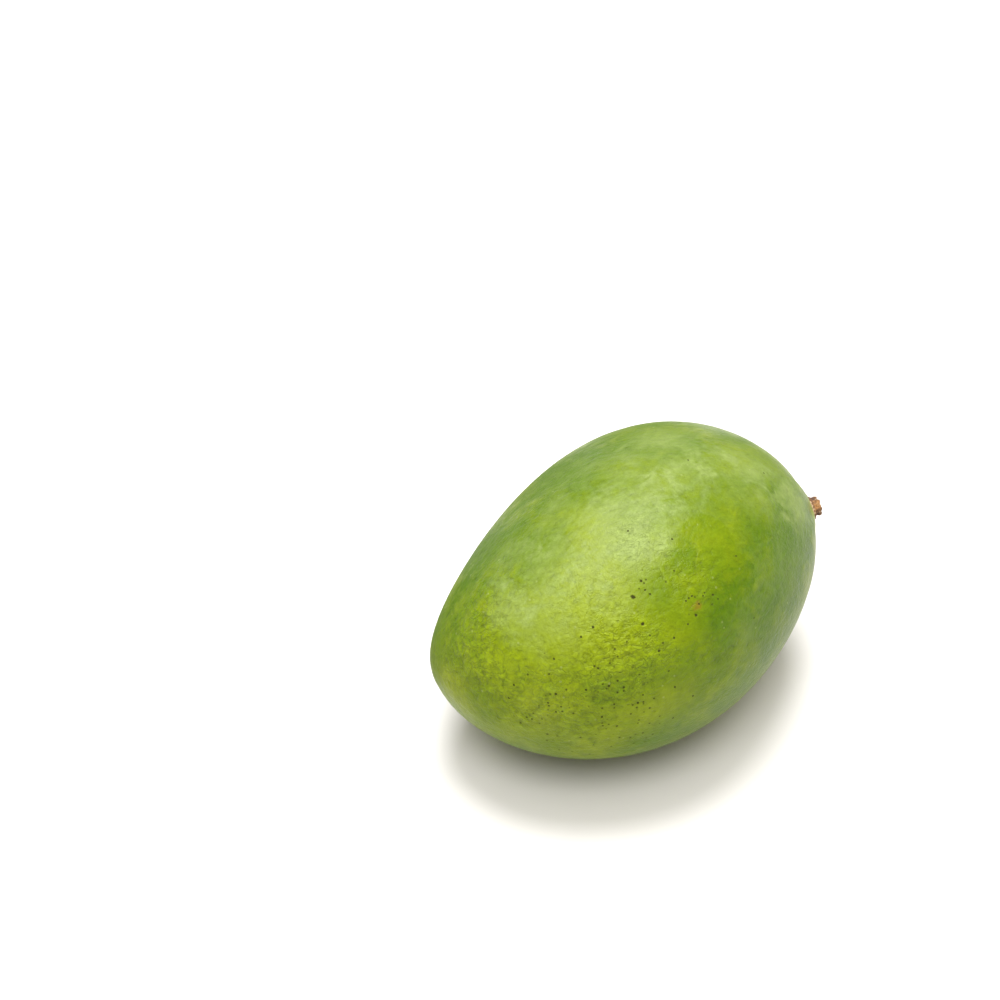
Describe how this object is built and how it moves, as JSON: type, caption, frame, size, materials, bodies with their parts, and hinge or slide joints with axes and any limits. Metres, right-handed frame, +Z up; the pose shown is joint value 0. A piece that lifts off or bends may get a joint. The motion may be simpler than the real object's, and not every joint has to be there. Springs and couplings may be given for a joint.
{
  "type": "mango",
  "caption": "Whole green mango with a full shoulder, a flatter stretch towards its blunt tip and a short woody stem stub, lying on its cheek.",
  "frame": {"origin": "on the surface that the fruit rests on, under the middle of its box", "axes": "+X towards the stem end, +Y towards the belly side with the full shoulder, +Z up"},
  "size_m": [0.119, 0.0942, 0.0772],
  "materials": {
    "skin": "waxy satin skin, yellow-green with a grey-green bloom",
    "stem": "dry, rough, broken woody stub"
  },
  "bodies": {
    "root": {"mango_fruit": "skin", "stem_stub": "stem"}
  },
  "joints": []
}
